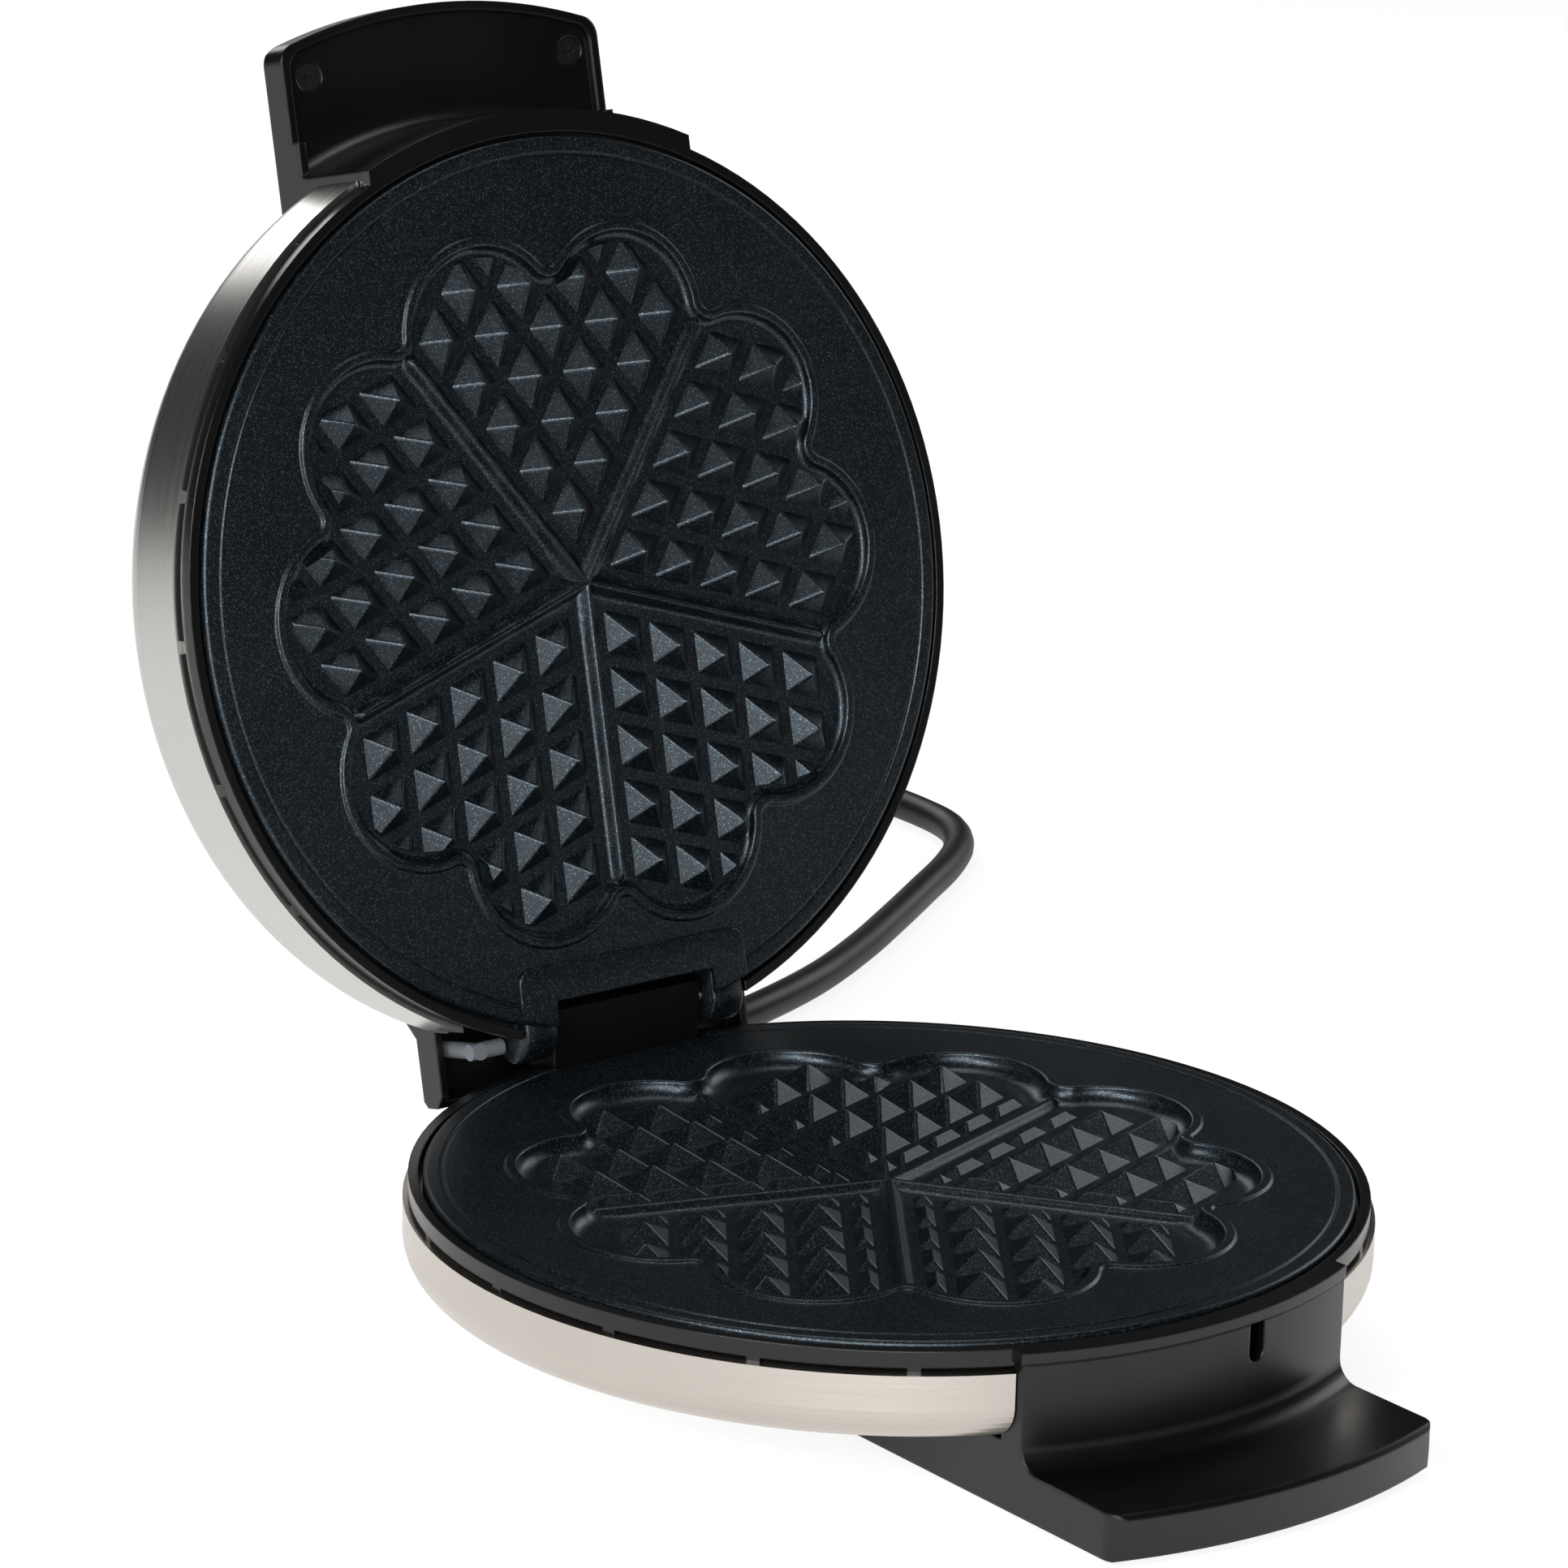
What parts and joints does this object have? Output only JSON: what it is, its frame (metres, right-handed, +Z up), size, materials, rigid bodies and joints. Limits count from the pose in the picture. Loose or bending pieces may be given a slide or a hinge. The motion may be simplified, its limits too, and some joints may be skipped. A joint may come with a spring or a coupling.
{
  "type": "waffle maker",
  "caption": "Electric waffle maker with round hinged plates that bake a flower of heart-shaped waffles, shown open.",
  "frame": {"origin": "centre of the footprint of the open waffle maker, without its mains lead, on the surface that it stands on", "axes": "+X to the right, along the hinge; +Y from the handle to the hinge; +Z up"},
  "size_m": [0.3751, 0.578, 0.2785],
  "materials": {
    "black_plastic": "satin moulded plastic",
    "plate_coating": "dark non-stick coating, satin",
    "brushed_shell": "circular brushing",
    "heater_sheath": "dull",
    "reflector_sheet": "bright sheet",
    "plated_steel": "zinc plated",
    "foot_rubber": "matte",
    "lead_sheath": "satin",
    "plug_plastic": "satin",
    "cream_ceramic": "matte",
    "lead_cores": "glass-fibre sleeving",
    "pale_sleeve": "glass-fibre sleeving",
    "earth_brass": "satin",
    "lamp_lens": "translucent red-orange",
    "lamp_bulb": "satin"
  },
  "bodies": {
    "base": {"base_saddle": "black_plastic", "base_shell": "brushed_shell", "base_vent_ring": "black_plastic", "lower_plate": "plate_coating", "lower_heater": "heater_sheath", "lower_heater_clips": "plated_steel", "lower_reflector": "reflector_sheet", "lower_plate_screws": "plated_steel", "bottom_cover": "black_plastic", "bottom_cover_screws": "plated_steel", "rubber_feet": "foot_rubber", "hinge_pin": "plated_steel", "terminal_block": "cream_ceramic", "base_leads": "lead_cores", "thermal_fuse": "plated_steel", "earth_tag": "earth_brass", "cord_clamp": "black_plastic", "cord_gland": "lead_sheath", "mains_cord": "lead_sheath", "cord_coil": "lead_sheath", "cord_tail": "lead_sheath", "mains_plug": "plug_plastic", "plug_pins": "plated_steel"},
    "lid": {"lid_shell": "brushed_shell", "lid_vent_ring": "black_plastic", "upper_plate": "plate_coating", "upper_heater": "heater_sheath", "upper_heater_clips": "plated_steel", "upper_reflector": "reflector_sheet", "lid_handle": "black_plastic", "lid_handle_panel": "black_plastic", "lid_handle_screws": "plated_steel", "lid_plate_screws": "plated_steel", "lid_hood": "black_plastic", "lid_hood_screws": "plated_steel", "thermostat": "cream_ceramic", "thermostat_bracket": "plated_steel", "ready_lamp_lens": "lamp_lens", "ready_lamp": "lamp_bulb", "lid_leads": "lead_cores", "hinge_wire_sleeve": "pale_sleeve"},
    "knob": {"browning_knob": "black_plastic", "thermostat_spindle": "plated_steel"}
  },
  "joints": [
    {"name": "lid_hinge", "type": "hinge", "parent": "base", "child": "lid", "pos_m": [0, 0.07754, 0.0485], "axis": [1, 0, 0], "range_deg": [0, 103.3]},
    {"name": "knob_turn", "type": "hinge", "parent": "lid", "child": "knob", "pos_m": [0, 0.15205, 0.22068], "axis": [0, 0.9732, -0.23], "range_deg": [-135, 135]}
  ]
}
